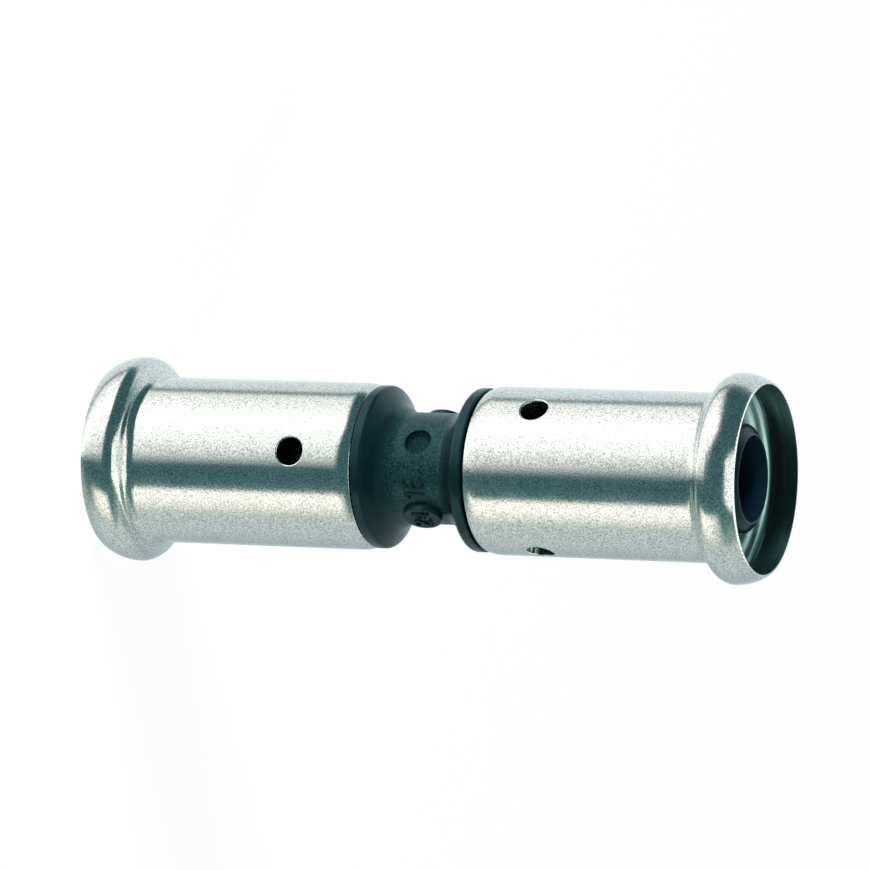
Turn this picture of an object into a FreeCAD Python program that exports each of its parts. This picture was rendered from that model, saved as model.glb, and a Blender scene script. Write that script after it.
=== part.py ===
import FreeCAD, Part

import math
import os

# Straight press coupling for a 16 x 2 mm multilayer pipe, standing on the mouth of its lower sleeve.
# Millimetres. The axis is +Z, and the origin is the middle of the lower mouth, on the surface it stands on.
# Angles round the axis count from the front, which is -Y, towards -X.

# Pipe that each end takes
pipe_outer_d = 16.0
pipe_wall = 2.0

# Press sleeve, a length of stainless steel tube with a rolled bead at its mouth
sleeve_pipe_clearance = 0.2
sleeve_wall = 0.8
sleeve_length = 31.0
bead_rise = 2.16
bead_crest_from_mouth = 2.95
bead_front_radius = 5.2
bead_back_radius = 1.7
bead_foot_radius = 1.1
mouth_edge_radius = 0.25
mouth_lip_land = 0.1

# Inner end of the sleeve, rolled in a little so that it snaps behind the locating ring of the body
curl_radius = 3.2
curl_angle = 30.0
curl_edge_radius = 0.15

# Three holes in each sleeve, through which the pushed-in pipe can be seen
view_hole_count = 3
view_hole_d = 3.0
view_hole_from_inner_end = 6.95
view_hole_edge_radius = 0.15
lower_view_hole_angle = 9.8
upper_view_hole_angle = 48.5

# Waist of the moulded body, between its two collars
neck_r = 5.98
neck_half_length = 2.75
neck_fillet_radius = 0.9
flank_knee_rise = 0.93
flank_knee_run = 1.3
flank_knee_radius = 2.0
collar_drop = 0.22
collar_land = 1.15
collar_face = 6.32
collar_round_radius = 0.5
collar_edge_radius = 0.15

# Seat of the sleeve on the body
lower_collar_gap = 0.06
upper_collar_gap = 0.2
snap_play = 0.25
snap_clearance = 0.3
locating_ring_clearance = 0.06
locating_ring_width = 1.65
locating_ring_lead = 0.5

# Stem inside each sleeve, over which the pipe is pushed
stem_pipe_clearance = 0.12
tip_recess = 1.47
nose_length = 0.75
nose_rounding = 1.0
nose_land = 0.1
mouth_lead_width = 0.31
mouth_lead_length = 1.5

# Seals, two to a stem
seal_section_d = 1.0
seal_proud = 0.22
seal_seat_clearance = 0.02
seal_side_clearance = 0.15
wall_under_seal = 0.78
seal_groove_radius = 0.1
inner_seal_from_stop = 10.5
seal_spacing = 8.0

# Sawtooth ribs that hold the pipe, one bank outside each seal
ribs_per_bank = 3
rib_depth = 0.25
rib_bank_land = 0.8

# Flat pads on the waist, each at its angle and height above the middle, and the gate mark
pad_places = ((-52.0, 0.25), (128.0, -0.6))
pad_length = 4.4
pad_width = 3.4
pad_height = 0.8
pad_edge_radius = 0.12
gate_mark_angle = 29.3
gate_mark_d = 2.9
gate_mark_depth = 0.85
gate_mark_floor_radius = 0.5

# Radii and heights that follow from these sizes
sleeve_bore_r = pipe_outer_d / 2 + sleeve_pipe_clearance
sleeve_r = sleeve_bore_r + sleeve_wall
collar_r = sleeve_r - collar_drop
stem_r = pipe_outer_d / 2 - pipe_wall - stem_pipe_clearance
seal_outer_r = stem_r + seal_proud
seal_floor_r = seal_outer_r - seal_section_d - seal_seat_clearance
waterway_r = seal_floor_r - wall_under_seal
locating_ring_r = sleeve_bore_r - locating_ring_clearance
bead_crest_r = sleeve_r + bead_rise
bead_crest_z = sleeve_length - bead_crest_from_mouth

lower_collar_z = sleeve_length + lower_collar_gap
middle_z = lower_collar_z + collar_face
upper_collar_z = middle_z + collar_face
upper_sleeve_z = upper_collar_z + upper_collar_gap
overall_length = upper_sleeve_z + sleeve_length

curl_rad = math.radians(curl_angle)
curl_length = curl_radius * math.sin(curl_rad)
curl_lip_r = sleeve_bore_r - (curl_radius - sleeve_wall) * (1 - math.cos(curl_rad))
locating_ring_start = collar_face + upper_collar_gap + curl_length + snap_play
snap_groove_r = curl_lip_r - snap_clearance
pipe_stop = locating_ring_start + locating_ring_width
stem_tip = upper_sleeve_z + sleeve_length - tip_recess - middle_z
seal_groove_width = seal_section_d + 2 * seal_side_clearance
seal_places = (pipe_stop + inner_seal_from_stop, pipe_stop + inner_seal_from_stop + seal_spacing)

os.makedirs("parts", exist_ok=True)

UP = FreeCAD.Vector(0, 0, 1)
ORIGIN = FreeCAD.Vector(0, 0, 0)


def section_point(r, z):
    """A point of a turned section: r out from the axis, z up it."""
    return FreeCAD.Vector(r, 0, z)


def arc_edge(centre_r, centre_z, radius, start, end):
    """Arc in the section plane; angles in radians from the outward direction towards +Z."""
    def at(angle):
        return section_point(centre_r + radius * math.cos(angle), centre_z + radius * math.sin(angle))
    return Part.Arc(at(start), at((start + end) / 2), at(end)).toShape()


def end_of(item):
    """Last point of an edge, or a bare point itself."""
    return item if isinstance(item, FreeCAD.Vector) else item.lastVertex(True).Point


def start_of(item):
    """First point of an edge, or a bare point itself."""
    return item if isinstance(item, FreeCAD.Vector) else item.firstVertex(True).Point


def chain(items):
    """Close a row of edges and bare points into one loop, with straight lines across the gaps."""
    linked = []
    for item, following in zip(items, items[1:] + items[:1]):
        if not isinstance(item, FreeCAD.Vector):
            linked.append(item)
        if end_of(item).distanceToPoint(start_of(following)) > 1e-6:
            linked.append(Part.makeLine(end_of(item), start_of(following)))
    return Part.Wire(linked)


def rounded_outline(corners):
    """Closed outline through (r, z, rounding) corners, each rounded by an arc of its own radius."""
    items = []
    for i, (r, z, rounding) in enumerate(corners):
        here = section_point(r, z)
        if rounding == 0:
            items.append(here)
            continue
        before = (section_point(*corners[i - 1][:2]) - here).normalize()
        after = (section_point(*corners[(i + 1) % len(corners)][:2]) - here).normalize()
        half = before.getAngle(after) / 2
        reach = rounding / math.tan(half)
        inward = (before + after).normalize()
        middle = here + inward * (rounding / math.sin(half) - rounding)
        items.append(Part.Arc(here + before * reach, middle, here + after * reach).toShape())
    return chain(items)


def turned(outline):
    """Solid of revolution of a closed section about the axis."""
    return Part.Face(outline).revolve(ORIGIN, UP, 360)


def outward(angle):
    """Direction out from the axis at an angle from the front."""
    a = math.radians(angle)
    return FreeCAD.Vector(-math.sin(a), -math.cos(a), 0)


def round_edges(solid, radius, chosen):
    """Round every edge for which chosen(edge) is true."""
    return solid.makeFillet(radius, [edge for edge in solid.Edges if chosen(edge)])


def is_straight(edge):
    """True for a straight edge, such as the seam of a turned face."""
    return isinstance(edge.Curve, Part.Line)


def is_ring(edge, r, z):
    """True for a full circle of radius r about the axis, at height z."""
    if not isinstance(edge.Curve, Part.Circle):
        return False
    centre = edge.Curve.Center
    return abs(edge.Curve.Radius - r) < 1e-4 and centre.distanceToPoint(FreeCAD.Vector(0, 0, z)) < 1e-4


def sleeve_skin(inset, front_angle):
    """Edges of the sleeve's section from inner end to front slope, inset from its outer face."""
    both_radii = bead_back_radius + bead_foot_radius
    back_angle = math.acos(1 - bead_rise / both_radii)
    foot_r = sleeve_r + bead_foot_radius
    foot_z = bead_crest_z - both_radii * math.sin(back_angle)
    back_r = bead_crest_r - bead_back_radius
    front_r = bead_crest_r - bead_front_radius
    curl = arc_edge(sleeve_r - curl_radius, curl_length, curl_radius - inset, -curl_rad, 0)
    foot = arc_edge(foot_r, foot_z, bead_foot_radius + inset, math.pi, math.pi - back_angle)
    back = arc_edge(back_r, bead_crest_z, bead_back_radius - inset, -back_angle, 0)
    front = arc_edge(front_r, bead_crest_z, bead_front_radius - inset, 0, front_angle)
    return [curl, foot, back, front]


def reversed_edge(edge):
    """The same arc run from its end to its start."""
    first, last = edge.FirstParameter, edge.LastParameter
    return Part.Arc(edge.valueAt(last), edge.valueAt((first + last) / 2), edge.valueAt(first)).toShape()


def sleeve_section():
    """Closed section of the sleeve. The mouth is bored out to leave a thin lip, rounded outside."""
    front_r = bead_crest_r - bead_front_radius
    to_rounding = bead_front_radius - mouth_edge_radius
    slope = math.asin((bead_crest_from_mouth - mouth_edge_radius) / to_rounding)
    rounding_r = front_r + to_rounding * math.cos(slope)
    rounding_z = sleeve_length - mouth_edge_radius
    rounding = arc_edge(rounding_r, rounding_z, mouth_edge_radius, slope, math.pi / 2)
    mouth_bore_r = rounding_r - mouth_lip_land
    bored_angle = math.acos(min((mouth_bore_r - front_r) / (bead_front_radius - sleeve_wall), 1))
    lip = [rounding, section_point(mouth_bore_r, sleeve_length)]
    inner_skin = [reversed_edge(edge) for edge in reversed(sleeve_skin(sleeve_wall, bored_angle))]
    return chain(sleeve_skin(0, slope) + lip + inner_skin)


def press_sleeve(first_hole_angle):
    """One sleeve with its inner end at z = 0 and its mouth up."""
    sleeve = turned(sleeve_section())
    curl_end_r = sleeve_r - curl_radius * (1 - math.cos(curl_rad))
    sleeve = round_edges(sleeve, curl_edge_radius, lambda e: is_ring(e, curl_end_r, 0))
    for i in range(view_hole_count):
        out = outward(first_hole_angle + i * 360 / view_hole_count)
        centre = FreeCAD.Vector(0, 0, view_hole_from_inner_end)
        sleeve = sleeve.cut(Part.makeCylinder(view_hole_d / 2, sleeve_r + 1, centre, out))

    def on_hole_rim(edge):
        middle = edge.valueAt((edge.FirstParameter + edge.LastParameter) / 2)
        on_outer_face = abs(math.hypot(middle.x, middle.y) - sleeve_r) < 1e-3
        at_hole = abs(middle.z - view_hole_from_inner_end) < view_hole_d / 2 + 1e-3
        return on_outer_face and at_hole and not is_straight(edge)

    return round_edges(sleeve, view_hole_edge_radius, on_hole_rim)


def rib_bank(start, end):
    """Corners of sawtooth ribs between two heights: each slopes down to the tip and stops square."""
    pitch = (end - start) / ribs_per_bank
    corners = []
    for i in range(ribs_per_bank):
        corners.append((stem_r, start + i * pitch, 0))
        corners.append((stem_r - rib_depth, start + (i + 1) * pitch, 0))
    corners.append((stem_r, end, 0))
    return corners


def seal_groove(centre):
    """Corners of the square groove round one seal."""
    low = centre - seal_groove_width / 2
    high = centre + seal_groove_width / 2
    return [
        (stem_r, low, 0),
        (seal_floor_r, low, seal_groove_radius),
        (seal_floor_r, high, seal_groove_radius),
        (stem_r, high, 0),
    ]


def body_half():
    """Corners of the body's upper half, from the waist out over the collar and stem to the waterway."""
    knee_r = neck_r + flank_knee_rise
    knee_z = neck_half_length + flank_knee_run
    ring_lead_r = locating_ring_r - locating_ring_lead / 2
    first_bank_end = seal_places[1] - seal_groove_width / 2 - rib_bank_land
    second_bank_end = stem_tip - nose_length - rib_bank_land
    bank_starts = [place + seal_groove_width / 2 + rib_bank_land for place in seal_places]
    corners = [
        (neck_r, neck_half_length, neck_fillet_radius),
        (knee_r, knee_z, flank_knee_radius),
        (collar_r, collar_face - collar_land, collar_round_radius),
        (collar_r, collar_face, collar_edge_radius),
        (snap_groove_r, collar_face, 0),
        (snap_groove_r, locating_ring_start, 0),
        (locating_ring_r, locating_ring_start, 0),
        (locating_ring_r, pipe_stop - locating_ring_lead, 0),
        (ring_lead_r, pipe_stop, 0),
        (stem_r, pipe_stop, 0),
    ]
    corners += seal_groove(seal_places[0])
    corners += rib_bank(bank_starts[0], first_bank_end)
    corners += seal_groove(seal_places[1])
    corners += rib_bank(bank_starts[1], second_bank_end)
    corners += [
        (stem_r, stem_tip - nose_length, nose_rounding),
        (waterway_r + mouth_lead_width + nose_land, stem_tip, 0),
        (waterway_r + mouth_lead_width, stem_tip, 0),
        (waterway_r, stem_tip - mouth_lead_length, 0),
    ]
    return corners


def waist_pad(angle, height):
    """Oval boss with a flat top, rooted in the wall of the waist."""
    root_r = (neck_r + waterway_r) / 2
    out = outward(angle)
    oval = Part.Ellipse(ORIGIN, pad_length / 2, pad_width / 2).toShape()
    boss = Part.Face(Part.Wire([oval])).extrude(UP * (neck_r + pad_height - root_r))
    boss = round_edges(boss, pad_edge_radius, lambda e: not is_straight(e) and e.BoundBox.ZMin > 1e-3)
    side = UP.cross(out)
    frame = FreeCAD.Matrix(
        0, side.x, out.x, out.x * root_r,
        0, side.y, out.y, out.y * root_r,
        1, side.z, out.z, middle_z + height,
        0, 0, 0, 1,
    )
    return boss.transformed(frame)


def coupling_body():
    """The moulded body: waist, collars, locating rings and both stems, bored through."""
    upper = body_half()
    lower = [(r, -z, rounding) for r, z, rounding in reversed(upper)]
    body = turned(rounded_outline(upper + lower))
    body.translate(FreeCAD.Vector(0, 0, middle_z))
    body = body.fuse([waist_pad(angle, height) for angle, height in pad_places])
    out = outward(gate_mark_angle)
    floor = out * (neck_r - gate_mark_depth) + FreeCAD.Vector(0, 0, middle_z)
    dish = Part.makeCylinder(gate_mark_d / 2, gate_mark_depth + 1, floor, out)
    dish = round_edges(dish, gate_mark_floor_radius, lambda e: e.CenterOfMass.distanceToPoint(floor) < 1e-3)
    return body.cut(dish)


def seal(z):
    """One O-ring, seated in its groove at height z."""
    section_r = seal_section_d / 2
    return Part.makeTorus(seal_outer_r - section_r, section_r, FreeCAD.Vector(0, 0, z), UP)


def turned_over(solid, z):
    """The solid turned end for end about the Y axis, with its z = 0 plane moved to height z."""
    turned_solid = solid.copy()
    turned_solid.rotate(ORIGIN, FreeCAD.Vector(0, 1, 0), 180)
    turned_solid.translate(FreeCAD.Vector(0, 0, z))
    return turned_solid


def write(name, shape):
    """Write one piece to its own STEP file."""
    solid = shape.Solids[0]
    solid.exportStep(f"parts/{name}.step")
    print(name, "valid", solid.isValid(), "solids", len(shape.Solids), "volume", round(solid.Volume, 3))


# Turning a sleeve over about Y mirrors the angles of its holes, so they are set with the opposite sign
lower_sleeve = turned_over(press_sleeve(-lower_view_hole_angle), sleeve_length)
upper_sleeve = press_sleeve(upper_view_hole_angle)
upper_sleeve.translate(FreeCAD.Vector(0, 0, upper_sleeve_z))

write("coupling_body", coupling_body())
write("lower_press_sleeve", lower_sleeve)
write("upper_press_sleeve", upper_sleeve)
for place, position in zip(seal_places, ("inner", "outer")):
    write(f"lower_{position}_o_ring", seal(middle_z - place))
    write(f"upper_{position}_o_ring", seal(middle_z + place))

print("overall length", round(overall_length, 3), "waterway radius", round(waterway_r, 3))
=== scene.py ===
import math

import bpy
import numpy as np
from mathutils import Matrix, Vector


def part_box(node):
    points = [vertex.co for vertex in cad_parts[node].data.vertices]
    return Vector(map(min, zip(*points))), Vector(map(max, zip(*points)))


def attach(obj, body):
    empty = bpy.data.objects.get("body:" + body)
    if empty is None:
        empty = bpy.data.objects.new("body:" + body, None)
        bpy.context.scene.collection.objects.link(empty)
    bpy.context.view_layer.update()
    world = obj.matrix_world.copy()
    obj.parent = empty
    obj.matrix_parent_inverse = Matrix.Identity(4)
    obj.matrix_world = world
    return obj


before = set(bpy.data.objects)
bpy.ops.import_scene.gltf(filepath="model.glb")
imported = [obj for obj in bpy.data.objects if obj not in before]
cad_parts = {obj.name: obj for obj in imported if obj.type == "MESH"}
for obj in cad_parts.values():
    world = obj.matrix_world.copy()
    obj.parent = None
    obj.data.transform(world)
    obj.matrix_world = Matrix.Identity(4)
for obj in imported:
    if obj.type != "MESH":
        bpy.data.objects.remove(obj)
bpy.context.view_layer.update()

# Coupling body
# One injection moulding in polyphenylsulfone, PPSU, a tough dark grey plastic for hot drinking water. The
# mould steel is polished at the stems and collars and spark-eroded round the waist, which leaves it speckled.
# The gate, where the plastic ran in, left a round recess in the waist.
body_low, body_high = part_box("coupling_body")
middle_z = (body_low.z + body_high.z) / 2
waist_r = 0.00598
waterway_wall_r = 0.0047
eroded_half_length = 0.0027
eroded_fade = 0.0014
eroded_flank_from = 0.0025
eroded_skin = 0.00005
recess_half_width = 0.0016
recess_rim_depth, recess_floor_depth = 0.0003, 0.0005
recess_share = 0.45
edge_rounding = 0.00025
erosion_grain, erosion_depth = 0.00019, 0.00005
ripple_length, ripple_depth = 0.0009, 0.00003
flow_cloud = 0.0030
peak_noise, cloud_noise = (0.40, 0.68), (0.3, 0.7)
smooth_dark, smooth_pale = "#0e2127", "#132b31"
# Inside the waterway the plastic is painted a bluer, slightly lighter tone: painted light for the dim light
# down the bore.
painted_bore_light = "#172f3f"
eroded_dark, eroded_peak = "#0c2023", "#2c5358"
sheen_tint = "#a4ecf6"
smooth_roughness, eroded_roughness, recess_roughness = 0.27, 0.36, 0.7


def linear(hex_colour):
    """Linear RGBA of an sRGB hex colour: each channel is undone by the sRGB curve, a line near black."""
    channels = [int(hex_colour[i:i + 2], 16) / 255 for i in (1, 3, 5)]
    return (*[c / 12.92 if c <= 0.04045 else ((c + 0.055) / 1.055) ** 2.4 for c in channels], 1)


def add(tree, kind, settings, links):
    """Add one node: settings fill its properties or, by name, its input values, and links join its inputs.

    A link comes from a socket, or from the first output that a node has in use."""
    node = tree.nodes.new(kind)
    for name, value in settings.items():
        if isinstance(name, int) or name in node.inputs:
            node.inputs[name].default_value = value
        else:
            setattr(node, name, value)
    for name, source in links.items():
        if isinstance(source, bpy.types.Node):
            source = next(socket for socket in source.outputs if socket.enabled)
        tree.links.new(source, node.inputs[name])
    return node


def new_material(name):
    """A material of that name with an empty node tree; returns both."""
    material = bpy.data.materials.new(name)
    material.use_nodes = True
    material.node_tree.nodes.clear()
    return material, material.node_tree


def moulded_ppsu():
    """Dark grey PPSU: a soft sheen on the polished parts and a dull, speckled skin where it is eroded.

    The eroded share is full near the body's middle where a point lies at the waist's own radius, or on the
    collars' flanks, less in the gate's recess, and none on pads and figures, which stand proud and smooth."""
    material, tree = new_material("moulded_ppsu")
    place = add(tree, "ShaderNodeTexCoord", {}, {}).outputs["Object"]
    split = add(tree, "ShaderNodeSeparateXYZ", {}, {0: place})
    level = add(tree, "ShaderNodeCombineXYZ", {}, {"X": split.outputs["X"], "Y": split.outputs["Y"]})
    radius = add(tree, "ShaderNodeVectorMath", {"operation": "LENGTH"}, {0: level})
    height = add(tree, "ShaderNodeMath", {"operation": "SUBTRACT", 1: middle_z}, {0: split.outputs["Z"]})
    height = add(tree, "ShaderNodeMath", {"operation": "ABSOLUTE"}, {0: height})
    round_waist = add(tree, "ShaderNodeMapRange", {
        "interpolation_type": "SMOOTHSTEP", "From Min": eroded_half_length + eroded_fade,
        "From Max": eroded_half_length}, {"Value": height})
    proud = add(tree, "ShaderNodeMath", {"operation": "SUBTRACT", 1: waist_r}, {0: radius})
    proud = add(tree, "ShaderNodeMath", {"operation": "ABSOLUTE"}, {0: proud})
    on_skin = add(tree, "ShaderNodeMath", {"operation": "LESS_THAN", 1: eroded_skin}, {0: proud})
    flank = add(tree, "ShaderNodeMath", {"operation": "GREATER_THAN", 1: eroded_flank_from}, {0: height})
    on_skin = add(tree, "ShaderNodeMath", {"operation": "MAXIMUM"}, {0: on_skin, 1: flank})
    recess = add(tree, "ShaderNodeMapRange", {
        "From Min": waist_r - recess_rim_depth, "From Max": waist_r - recess_floor_depth}, {"Value": radius})
    near = add(tree, "ShaderNodeMath", {"operation": "LESS_THAN", 1: recess_half_width}, {0: height})
    outside = add(tree, "ShaderNodeMath", {"operation": "GREATER_THAN", 1: waterway_wall_r}, {0: radius})
    recess = add(tree, "ShaderNodeMath", {"operation": "MULTIPLY"}, {0: recess, 1: near})
    recess = add(tree, "ShaderNodeMath", {"operation": "MULTIPLY"}, {0: recess, 1: outside})
    faint = add(tree, "ShaderNodeMath", {"operation": "MULTIPLY", 1: recess_share}, {0: recess})
    on_skin = add(tree, "ShaderNodeMath", {"operation": "MAXIMUM"}, {0: on_skin, 1: faint})
    eroded = add(tree, "ShaderNodeMath", {"operation": "MULTIPLY"}, {0: round_waist, 1: on_skin})

    grain = add(tree, "ShaderNodeTexNoise", {"Scale": 1 / erosion_grain, "Detail": 2, "Roughness": 0.6},
                {"Vector": place})
    cloud = add(tree, "ShaderNodeTexNoise", {"Scale": 1 / flow_cloud, "Detail": 2}, {"Vector": place})
    ripple = add(tree, "ShaderNodeTexNoise", {"Scale": 1 / ripple_length, "Detail": 2}, {"Vector": place})
    peaks = add(tree, "ShaderNodeMapRange", {"From Min": peak_noise[0], "From Max": peak_noise[1]},
                {"Value": grain})
    peaks = add(tree, "ShaderNodeMath", {"operation": "MULTIPLY"}, {0: peaks, 1: eroded})
    shade = add(tree, "ShaderNodeMapRange", {"From Min": cloud_noise[0], "From Max": cloud_noise[1]},
                {"Value": cloud})
    base = add(tree, "ShaderNodeMix", {"data_type": "RGBA", 6: linear(smooth_dark), 7: linear(smooth_pale)},
               {0: shade})
    # Painted light: inside the waterway the colour turns to the bluer bore tone.
    in_bore_painted_light = add(tree, "ShaderNodeMath", {"operation": "LESS_THAN", 1: waterway_wall_r}, {0: radius})
    base = add(tree, "ShaderNodeMix", {"data_type": "RGBA", 7: linear(painted_bore_light)}, {0: in_bore_painted_light, 6: base})
    base = add(tree, "ShaderNodeMix", {"data_type": "RGBA", 7: linear(eroded_dark)}, {0: eroded, 6: base})
    base = add(tree, "ShaderNodeMix", {"data_type": "RGBA", 7: linear(eroded_peak)}, {0: peaks, 6: base})
    rough = add(tree, "ShaderNodeMapRange", {"To Min": smooth_roughness, "To Max": eroded_roughness},
                {"Value": eroded})
    rough = add(tree, "ShaderNodeMix", {"data_type": "FLOAT", 3: recess_roughness}, {0: recess, 2: rough})

    pits = add(tree, "ShaderNodeMath", {"operation": "MULTIPLY"}, {0: grain, 1: eroded})
    normal = add(tree, "ShaderNodeBevel", {"samples": 6, "Radius": edge_rounding}, {})
    normal = add(tree, "ShaderNodeBump", {"Strength": 0.9, "Distance": erosion_depth},
                 {"Height": pits, "Normal": normal})
    normal = add(tree, "ShaderNodeBump", {"Strength": 0.3, "Distance": ripple_depth},
                 {"Height": ripple, "Normal": normal})
    shader = add(tree, "ShaderNodeBsdfPrincipled", {
        "IOR": 1.5, "Specular IOR Level": 0.4, "Specular Tint": linear(sheen_tint)},
        {"Base Color": base, "Roughness": rough, "Normal": normal})
    add(tree, "ShaderNodeOutputMaterial", {}, {"Surface": shader})
    return material


ppsu = moulded_ppsu()
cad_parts["coupling_body"].material_slots[0].material = ppsu

# Moulded figures
# The pipe's outside diameter, 16, stands up from the waist beside the gate's recess, and a plain mould number
# stands on the near pad. Both are engraved in the mould with a ball cutter, so their strokes are half round.
# A place is degrees round from the front towards -X, and metres above the body's middle.
pad_height = 0.00080
size_place, size_height = (-20.7, -0.00018), 0.00215
pad_place, pad_figure_height = (-52.0, 0.00025), 0.00185
stroke_width, stroke_rise = 0.00030, 0.00026
stroke_step = 0.00005
stroke_sides = 12
cap_rings = 4
figure_pitch, one_share = 0.66, 0.72


def arc(middle, radii, start, end, count=18):
    """Points of an ellipse's arc: middle plus each radius times the cosine and sine of the angle."""
    angle = np.radians(np.linspace(start, end, count))
    return np.stack([middle[0] + radii[0] * np.cos(angle), middle[1] + radii[1] * np.sin(angle)], axis=1)


def figure(digit):
    """Centre line of one figure, 0.5 wide and 1 high with its foot at 0, as an array of points."""
    if digit == "1":
        return np.array([(0.02, 0.80), (0.22, 1.0), (0.22, 0.5), (0.22, 0.0)])
    if digit == "2":
        return np.vstack([arc((0.25, 0.75), (0.23, 0.25), 170, -35), [(0.02, 0.0), (0.5, 0.0)]])
    if digit == "4":
        return np.array([(0.38, 0.0), (0.38, 0.5), (0.38, 1.0), (0.0, 0.3), (0.52, 0.3)])
    stem = arc((0.34, 0.42), (0.32, 0.58), 75, 180)
    bowl = arc((0.27, 0.29), (0.25, 0.29), 180, 520, 30)
    return np.vstack([stem, bowl])


def stroke(line):
    """Half-round bead along a line: rings of an ellipse across it, tapered like a circle at both ends.

    Returns the rings' points as (along, up, out) and the quads between them."""
    half = stroke_width / 2
    runs = np.linalg.norm(np.diff(line, axis=0), axis=1)
    travelled = np.concatenate([[0], np.cumsum(runs)])
    inner = np.linspace(0, travelled[-1], max(int(travelled[-1] / stroke_step), 4) + 1)
    cap = half * (1 - np.cos(np.linspace(0, np.pi / 2, cap_rings + 1)))[:-1]
    at = np.concatenate([cap - half, inner, travelled[-1] + half - cap[::-1]])
    held = np.clip(at, 0, travelled[-1])
    centre = np.stack([np.interp(held, travelled, line[:, k]) for k in (0, 1)], axis=1)
    heading = np.gradient(np.stack([np.interp(inner, travelled, line[:, k]) for k in (0, 1)], axis=1), axis=0)
    heading /= np.linalg.norm(heading, axis=1)[:, None]
    first, last = np.repeat(heading[:1], cap_rings, 0), np.repeat(heading[-1:], cap_rings, 0)
    heading = np.vstack([first, heading, last])
    beyond = at - held
    centre = centre + heading * beyond[:, None]
    taper = np.sqrt(np.clip(1 - (beyond / half) ** 2, 0, 1))
    around = np.linspace(0, 2 * np.pi, stroke_sides + 1)[:-1]
    across = np.stack([-heading[:, 1], heading[:, 0]], axis=1)
    flat = centre[:, None] + across[:, None] * (taper[:, None] * np.cos(around) * half)[..., None]
    out = taper[:, None] * np.sin(around) * stroke_rise
    points = np.concatenate([flat, out[..., None]], axis=2)
    number = np.arange(len(at) * stroke_sides).reshape(len(at), stroke_sides)
    turned = np.roll(number, -1, axis=1)
    quads = np.stack([number[:-1], turned[:-1], turned[1:], number[1:]], axis=-1).reshape(-1, 4)
    return points.reshape(-1, 3), quads


def moulded_number(name, digits, height, place, on_pad):
    """Figures wrapped round the waist, or laid flat on a pad's top; they read towards growing angles.

    Round the waist, a point's angle is its distance along over the waist's radius. On the pad it keeps to
    the plane square to the pad's direction. Up in the figures is down the pipe axis."""
    points, quads, start, count = [], [], 0.0, 0
    for digit in digits:
        ring_points, ring_quads = stroke(figure(digit) * height + np.array([start, -height / 2]))
        points.append(ring_points)
        quads.append(ring_quads + count)
        count += len(ring_points)
        start += height * figure_pitch * (one_share if digit == "1" else 1)
    along, up, out = np.vstack(points).T
    along = along - (along.min() + along.max()) / 2
    angle = math.radians(place[0])
    if on_pad:
        radial = waist_r + pad_height + out
        x = -radial * math.sin(angle) - along * math.cos(angle)
        y = -radial * math.cos(angle) + along * math.sin(angle)
    else:
        turn = angle + along / waist_r
        x = -(waist_r + out) * np.sin(turn)
        y = -(waist_r + out) * np.cos(turn)
    z = middle_z + place[1] - up
    mesh = bpy.data.meshes.new(name)
    mesh.from_pydata(np.stack([x, y, z], axis=1).tolist(), [], np.vstack(quads).tolist())
    mesh.validate()
    mesh.shade_smooth()
    mesh.materials.append(ppsu)
    piece = bpy.data.objects.new(name, mesh)
    bpy.context.scene.collection.objects.link(piece)
    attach(piece, "root")


moulded_number("size_number", "16", size_height, size_place, on_pad=False)
moulded_number("mould_number", "24", pad_figure_height, pad_place, on_pad=True)

# Seal rings
# Four rings of black EPDM rubber, compression moulded and wiped with a little silicone grease, so they
# shine more than the plastic. They sit in the grooves of the stems.
grease_patch, grease_depth = 0.0012, 0.00003
grease_roughness = (0.28, 0.5)
rubber_black = "#17191b"


def greased_epdm():
    """Black EPDM with a thin wet film: low colour, fairly smooth, faintly uneven."""
    material, tree = new_material("greased_epdm")
    place = add(tree, "ShaderNodeTexCoord", {}, {}).outputs["Object"]
    film = add(tree, "ShaderNodeTexNoise", {"Scale": 1 / grease_patch, "Detail": 2}, {"Vector": place})
    rough = add(tree, "ShaderNodeMapRange", {"To Min": grease_roughness[0], "To Max": grease_roughness[1]},
                {"Value": film})
    uneven = add(tree, "ShaderNodeBump", {"Strength": 0.2, "Distance": grease_depth}, {"Height": film})
    shader = add(tree, "ShaderNodeBsdfPrincipled", {"Base Color": linear(rubber_black), "IOR": 1.5},
                 {"Roughness": rough, "Normal": uneven})
    add(tree, "ShaderNodeOutputMaterial", {}, {"Surface": shader})
    return material


seal_material = greased_epdm()
for seal_node in ("lower_inner_o_ring", "lower_outer_o_ring", "upper_inner_o_ring", "upper_outer_o_ring"):
    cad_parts[seal_node].material_slots[0].material = seal_material

# Press sleeves
# Thin stainless steel tube, cut off, rolled out into a bead at the mouth and a little in at the other end,
# punched with three view holes and then tumbled with fine media, which leaves an even satin skin.
sleeve_nodes = ("lower_press_sleeve", "upper_press_sleeve")
tumbled_grain, tumbled_depth = 0.00018, 0.00001
tumbled_cloud = 0.0026
turning_line = 0.00006
fleck_noise, line_noise, satin_noise = (0.32, 0.62), (0.35, 0.65), (0.3, 0.7)
inward_facing = (0.1, -0.3)
fleck_grey, fleck_pale = "#98a4a1", "#faf8f5"
# Darker teal tones for the faces that look towards the axis: painted shade with a painted teal reflection.
painted_shade_ring_dark, painted_shade_ring_pale = "#5e8283", "#b8cfcd"
satin_roughness = (0.12, 0.18)
inside_roughness = 0.26


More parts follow.
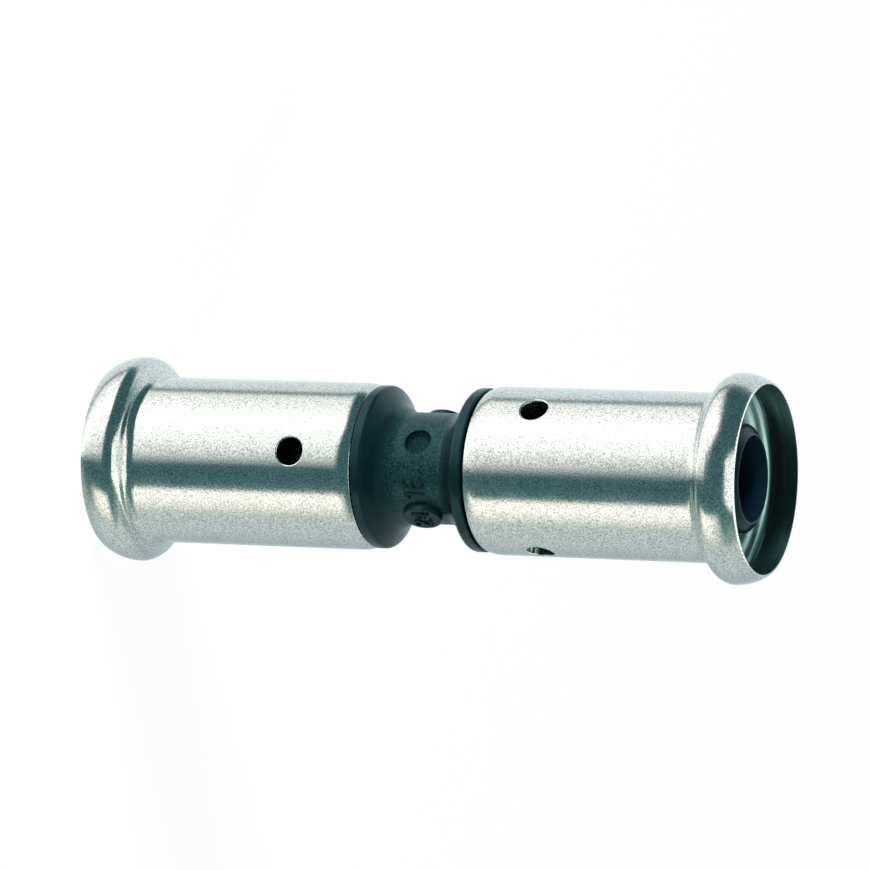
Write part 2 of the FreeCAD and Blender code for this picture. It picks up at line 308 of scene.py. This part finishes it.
def tumbled_stainless():
    """Satin stainless steel: fine pale and grey flecks break up each reflection, over a faint unevenness.

    Inside, where a face looks towards the axis, fine rings left by the rolling take the flecks' place: they
    are noise of the distance from the axis and the height only. Their darker teal tones are painted shade
    with a painted teal reflection."""
    material, tree = new_material("tumbled_stainless")
    place = add(tree, "ShaderNodeTexCoord", {}, {}).outputs["Object"]
    split = add(tree, "ShaderNodeSeparateXYZ", {}, {0: place})
    level = add(tree, "ShaderNodeCombineXYZ", {}, {"X": split.outputs["X"], "Y": split.outputs["Y"]})
    out = add(tree, "ShaderNodeVectorMath", {"operation": "NORMALIZE"}, {0: level})
    radius = add(tree, "ShaderNodeVectorMath", {"operation": "LENGTH"}, {0: level})
    facing = add(tree, "ShaderNodeNewGeometry", {}, {}).outputs["True Normal"]
    facing = add(tree, "ShaderNodeVectorMath", {"operation": "DOT_PRODUCT"}, {0: out, 1: facing})
    inside = add(tree, "ShaderNodeMapRange", {"From Min": inward_facing[0], "From Max": inward_facing[1]},
                 {"Value": facing})

    grain = add(tree, "ShaderNodeTexNoise", {"Scale": 1 / tumbled_grain, "Detail": 2, "Roughness": 0.7},
                {"Vector": place})
    cloud = add(tree, "ShaderNodeTexNoise", {"Scale": 1 / tumbled_cloud, "Detail": 2}, {"Vector": place})
    ring_place = add(tree, "ShaderNodeCombineXYZ", {}, {"X": radius, "Y": split.outputs["Z"]})
    rings = add(tree, "ShaderNodeTexNoise", {"Scale": 1 / turning_line, "Detail": 2}, {"Vector": ring_place})
    tone = add(tree, "ShaderNodeMapRange", {"From Min": fleck_noise[0], "From Max": fleck_noise[1]},
               {"Value": grain})
    flecks = add(tree, "ShaderNodeMix", {"data_type": "RGBA", 6: linear(fleck_grey), 7: linear(fleck_pale)},
                 {0: tone})
    line = add(tree, "ShaderNodeMapRange", {"From Min": line_noise[0], "From Max": line_noise[1]},
               {"Value": rings})
    # The rolling's rings, coloured in painted shade with a painted teal reflection for the inside of the
    # mouth.
    painted_shade_rings = add(tree, "ShaderNodeMix", {"data_type": "RGBA", 6: linear(painted_shade_ring_dark), 7: linear(painted_shade_ring_pale)},
                {0: line})
    base = add(tree, "ShaderNodeMix", {"data_type": "RGBA"}, {0: inside, 6: flecks, 7: painted_shade_rings})
    rough = add(tree, "ShaderNodeMapRange", {
        "From Min": satin_noise[0], "From Max": satin_noise[1],
        "To Min": satin_roughness[0], "To Max": satin_roughness[1]}, {"Value": cloud})
    rough = add(tree, "ShaderNodeMix", {"data_type": "FLOAT", 3: inside_roughness}, {0: inside, 2: rough})
    relief = add(tree, "ShaderNodeMix", {"data_type": "FLOAT"}, {0: inside, 2: grain, 3: rings})
    grained = add(tree, "ShaderNodeBump", {"Strength": 0.7, "Distance": tumbled_depth}, {"Height": relief})
    shader = add(tree, "ShaderNodeBsdfPrincipled", {"Metallic": 1.0},
                 {"Base Color": base, "Roughness": rough, "Normal": grained})
    add(tree, "ShaderNodeOutputMaterial", {}, {"Surface": shader})
    return material


steel = tumbled_stainless()
for sleeve_node in sleeve_nodes:
    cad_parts[sleeve_node].material_slots[0].material = steel

# Surroundings that the metal mirrors
# A small studio: a paper sweep behind, a dark teal room in front and above, and in it a broad softbox and a
# cream bounce board. Angles are degrees, round from the front, which is -Y, towards -X, or up from level.
# Each table is (angle, colour) or (angle, share), in straight runs from one angle to the next.
paper_shades = ((-180, "#d0e0e6"), (-147, "#b4c2c6"), (-110, "#d0dcdc"), (122, "#e0e8ea"), (172, "#ecfaff"))
room_shades = ((-80, "#a8bcb4"), (-54, "#668c88"), (-20, "#466c70"), (110, "#3e6266"), (121, "#7c9a9c"))
room_round = ((-82, 0.0), (-78, 1.0), (120, 1.0), (122, 0.0))
room_above = ((38, 0.0), (50, 1.0))
room_below_round = ((-135, 0.0), (-100, 1.0), (0, 1.0), (12, 0.0))
room_below = ((-62, 1.0), (-48, 0.0))
board_light = (1.46, 1.42, 1.31, 1)
board_round = ((-84, 0.0), (-75, 0.35), (-64, 0.72), (-52, 1.0), (-41.5, 1.0), (-38, 0.0))
board_levels = ((-60, 0.0), (-53, 0.2), (-45, 0.75), (-36, 1.0), (-12, 1.0), (-5, 0.7), (4, 0.55), (12, 0.0))
softbox_light = (1.86, 1.85, 1.80, 1)
softbox_round = ((-5, 0.0), (8, 0.42), (32, 0.74), (45, 0.82), (57, 1.0), (70, 0.97), (81, 0.74),
                 (109, 0.55), (114, 0.05), (121, 0.05))
softbox_foot, softbox_most, softbox_blur = -30, 30, 6.0
softbox_heights = ((5, 13), (25, 16), (35, 20), (45, 26), (57, 28), (67, 26), (105, 16))
even_colour, even_light = "#eef4fa", 0.22


def graded(tree, angle, stops):
    """Ramp along an angle from -180 to 180 degrees, straight from each stop's colour or share to the next."""
    share = add(tree, "ShaderNodeMapRange", {"From Min": -180.0, "From Max": 180.0}, {"Value": angle})
    ramp = add(tree, "ShaderNodeValToRGB", {}, {"Fac": share})
    elements = ramp.color_ramp.elements
    for number, (stop, value) in enumerate(stops):
        place = (stop + 180) / 360
        element = elements[number] if number < 2 else elements.new(place)
        element.position = place
        element.color = linear(value) if isinstance(value, str) else (value, value, value, 1)
    return ramp


def surroundings():
    """World that is even for soft light, white for the camera and the small studio for mirror rays."""
    world = bpy.data.worlds.new("studio")
    world.use_nodes = True
    world.cycles.sampling_method = "NONE"
    tree = world.node_tree
    tree.nodes.clear()
    way = add(tree, "ShaderNodeTexCoord", {}, {}).outputs["Generated"]
    split = add(tree, "ShaderNodeSeparateXYZ", {}, {0: way})
    left = add(tree, "ShaderNodeMath", {"operation": "MULTIPLY", 1: -1}, {0: split.outputs["X"]})
    front = add(tree, "ShaderNodeMath", {"operation": "MULTIPLY", 1: -1}, {0: split.outputs["Y"]})
    azimuth = add(tree, "ShaderNodeMath", {"operation": "ARCTAN2"}, {0: left, 1: front})
    azimuth = add(tree, "ShaderNodeMath", {"operation": "MULTIPLY", 1: math.degrees(1)}, {0: azimuth})
    level = add(tree, "ShaderNodeMath", {"operation": "ARCSINE"}, {0: split.outputs["Z"]})
    level = add(tree, "ShaderNodeMath", {"operation": "MULTIPLY", 1: math.degrees(1)}, {0: level})

    in_room = add(tree, "ShaderNodeMath", {"operation": "MAXIMUM"},
                  {0: graded(tree, azimuth, room_round), 1: graded(tree, level, room_above)})
    below = add(tree, "ShaderNodeMath", {"operation": "MULTIPLY"},
                {0: graded(tree, azimuth, room_below_round), 1: graded(tree, level, room_below)})
    in_room = add(tree, "ShaderNodeMath", {"operation": "MAXIMUM"}, {0: in_room, 1: below})
    seen = add(tree, "ShaderNodeMix", {"data_type": "RGBA"},
               {0: in_room, 6: graded(tree, azimuth, paper_shades), 7: graded(tree, azimuth, room_shades)})

    board = add(tree, "ShaderNodeMath", {"operation": "MULTIPLY"},
                {0: graded(tree, azimuth, board_round), 1: graded(tree, level, board_levels)})
    seen = add(tree, "ShaderNodeMix", {"data_type": "RGBA", 7: board_light}, {0: board, 6: seen})

    top = graded(tree, azimuth, [(angle, height / softbox_most) for angle, height in softbox_heights])
    top = add(tree, "ShaderNodeMath", {"operation": "MULTIPLY", 1: softbox_most}, {0: top})
    over_foot = add(tree, "ShaderNodeMath", {"operation": "SUBTRACT", 1: softbox_foot}, {0: level})
    over_top = add(tree, "ShaderNodeMath", {"operation": "SUBTRACT"}, {0: over_foot, 1: top})
    below_top = add(tree, "ShaderNodeMapRange", {
        "interpolation_type": "SMOOTHSTEP", "From Min": softbox_blur, "From Max": -softbox_blur},
        {"Value": over_top})
    softbox = add(tree, "ShaderNodeMath", {"operation": "MULTIPLY"},
                  {0: graded(tree, azimuth, softbox_round), 1: below_top})
    seen = add(tree, "ShaderNodeMix", {"data_type": "RGBA", 7: softbox_light}, {0: softbox, 6: seen})

    path = add(tree, "ShaderNodeLightPath", {}, {})
    even = add(tree, "ShaderNodeBackground", {"Color": linear(even_colour), "Strength": even_light}, {})
    mirrored = add(tree, "ShaderNodeBackground", {}, {"Color": seen})
    white = add(tree, "ShaderNodeBackground", {"Color": (1, 1, 1, 1)}, {})
    mixed = add(tree, "ShaderNodeMixShader", {}, {0: path.outputs["Is Glossy Ray"], 1: even, 2: mirrored})
    mixed = add(tree, "ShaderNodeMixShader", {}, {0: path.outputs["Is Camera Ray"], 1: mixed, 2: white})
    add(tree, "ShaderNodeOutputWorld", {}, {"Surface": mixed})
    return world


bpy.context.scene.world = surroundings()

# White card
# A lit white card lies level over the fitting. Only the sleeves take its light, as the bright line along the
# rim of the upper mouth and the bright strip in the lower bead.
card_low, card_high = (-0.045, -0.122), (0.056, 0.095)
card_z = 0.135
card_power = 0.082
card_colour = "#fffdf6"


def white_card():
    """Rectangular light between two corners at one height, aimed down, for the sleeves' mirror rays alone."""
    light = bpy.data.lights.new("white_card", "AREA")
    light.shape = "RECTANGLE"
    light.size = card_high[0] - card_low[0]
    light.size_y = card_high[1] - card_low[1]
    light.energy = card_power
    light.color = linear(card_colour)[:3]
    card = bpy.data.objects.new("white_card", light)
    bpy.context.scene.collection.objects.link(card)
    card.location = ((card_low[0] + card_high[0]) / 2, (card_low[1] + card_high[1]) / 2, card_z)
    for ray in ("camera", "diffuse", "transmission", "volume_scatter"):
        setattr(card, "visible_" + ray, False)
    lit_sleeves = bpy.data.collections.new("lit_by_card")
    for node in sleeve_nodes:
        lit_sleeves.objects.link(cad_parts[node])
    card.light_linking.receiver_collection = lit_sleeves


white_card()

# Floor
# A white paper sweep. It holds the fitting's faint soft shadow. The metal mirrors the studio in its place.
floor_reach = 4.0
floor_lit_share = 0.20
floor_glow = 1.155
paper_colour = "#f6f6f5"


def white_paper():
    """White paper: to the camera a share of it is lit and holds the shadow, and the rest glows.

    The glow is a little over white, so that open paper, where both add up, comes out white."""
    material, tree = new_material("white_paper")
    path = add(tree, "ShaderNodeLightPath", {}, {})
    lit = add(tree, "ShaderNodeBsdfDiffuse", {"Color": linear(paper_colour)}, {})
    glow = add(tree, "ShaderNodeEmission", {"Color": (1, 1, 1, 1), "Strength": floor_glow}, {})
    share = add(tree, "ShaderNodeMath", {"operation": "MULTIPLY", 1: 1 - floor_lit_share},
                {0: path.outputs["Is Camera Ray"]})
    mixed = add(tree, "ShaderNodeMixShader", {}, {0: share, 1: lit, 2: glow})
    add(tree, "ShaderNodeOutputMaterial", {}, {"Surface": mixed})
    return material


def paper_sweep():
    """A flat square sheet at the height that the fitting stands on."""
    corners = [(-floor_reach, -floor_reach, 0), (floor_reach, -floor_reach, 0),
               (floor_reach, floor_reach, 0), (-floor_reach, floor_reach, 0)]
    mesh = bpy.data.meshes.new("paper_floor")
    mesh.from_pydata(corners, [], [(0, 1, 2, 3)])
    mesh.materials.append(white_paper())
    floor = bpy.data.objects.new("paper_floor", mesh)
    bpy.context.scene.collection.objects.link(floor)
    floor.visible_glossy = False


paper_sweep()

# Lamps
# Two soft panels a little above level: a strong one on the side that the picture has at its top, and a weak
# one that fills from the other side. The metal doesn't mirror them.


def lamp(name, azimuth, elevation, distance, size, power, colour):
    """A square panel light aimed at the fitting's middle, azimuth degrees from the front towards -X."""
    light = bpy.data.lights.new(name, "AREA")
    light.shape = "SQUARE"
    light.size = size
    light.energy = power
    light.color = linear(colour)[:3]
    panel = bpy.data.objects.new(name, light)
    bpy.context.scene.collection.objects.link(panel)
    a, e = math.radians(azimuth), math.radians(elevation)
    out = np.array([-math.sin(a) * math.cos(e), -math.cos(a) * math.cos(e), math.sin(e)])
    panel.location = tuple(out * distance + np.array([0, 0, middle_z]))
    panel.rotation_euler = (math.pi / 2 - e, 0, -a)
    panel.visible_glossy = False


lamp("softbox_lamp", azimuth=64, elevation=10, distance=1.0, size=0.34, power=9.0, colour="#fffdf8")
lamp("fill_lamp", azimuth=-45, elevation=12, distance=1.1, size=0.4, power=3.0, colour="#fffaf0")

# Camera
# A long lens from 0.62 m, above the fitting's waist and rolled a quarter turn, so that it lies across.
camera_distance = 0.6203
camera_azimuth = -0.682
camera_elevation = 22.630
camera_roll = 91.774
camera_aim = (-0.003588, -0.000062, 0.037199)
camera_lens = 239.41
camera_sensor = 36
camera_clip = (0.01, 50)


def place_camera():
    """Camera looking at its aim point, with its picture turned about the line of sight by the roll."""
    a, e, roll = map(math.radians, (camera_azimuth, camera_elevation, camera_roll))
    back = np.array([math.sin(a) * math.cos(e), -math.cos(a) * math.cos(e), math.sin(e)])
    level = np.array([math.cos(a), math.sin(a), 0])
    across = math.cos(roll) * level + math.sin(roll) * np.cross(back, level)
    up = np.cross(back, across)
    data = bpy.data.cameras.new("camera")
    data.lens = camera_lens
    data.sensor_width = camera_sensor
    data.clip_start, data.clip_end = camera_clip
    camera = bpy.data.objects.new("camera", data)
    bpy.context.scene.collection.objects.link(camera)
    matrix = np.eye(4)
    matrix[:3, :3] = np.stack([across, up, back], axis=1)
    matrix[:3, 3] = np.array(camera_aim) + camera_distance * back
    camera.matrix_world = Matrix(matrix)
    bpy.context.scene.camera = camera


place_camera()
bpy.context.scene.view_settings.view_transform = "Standard"
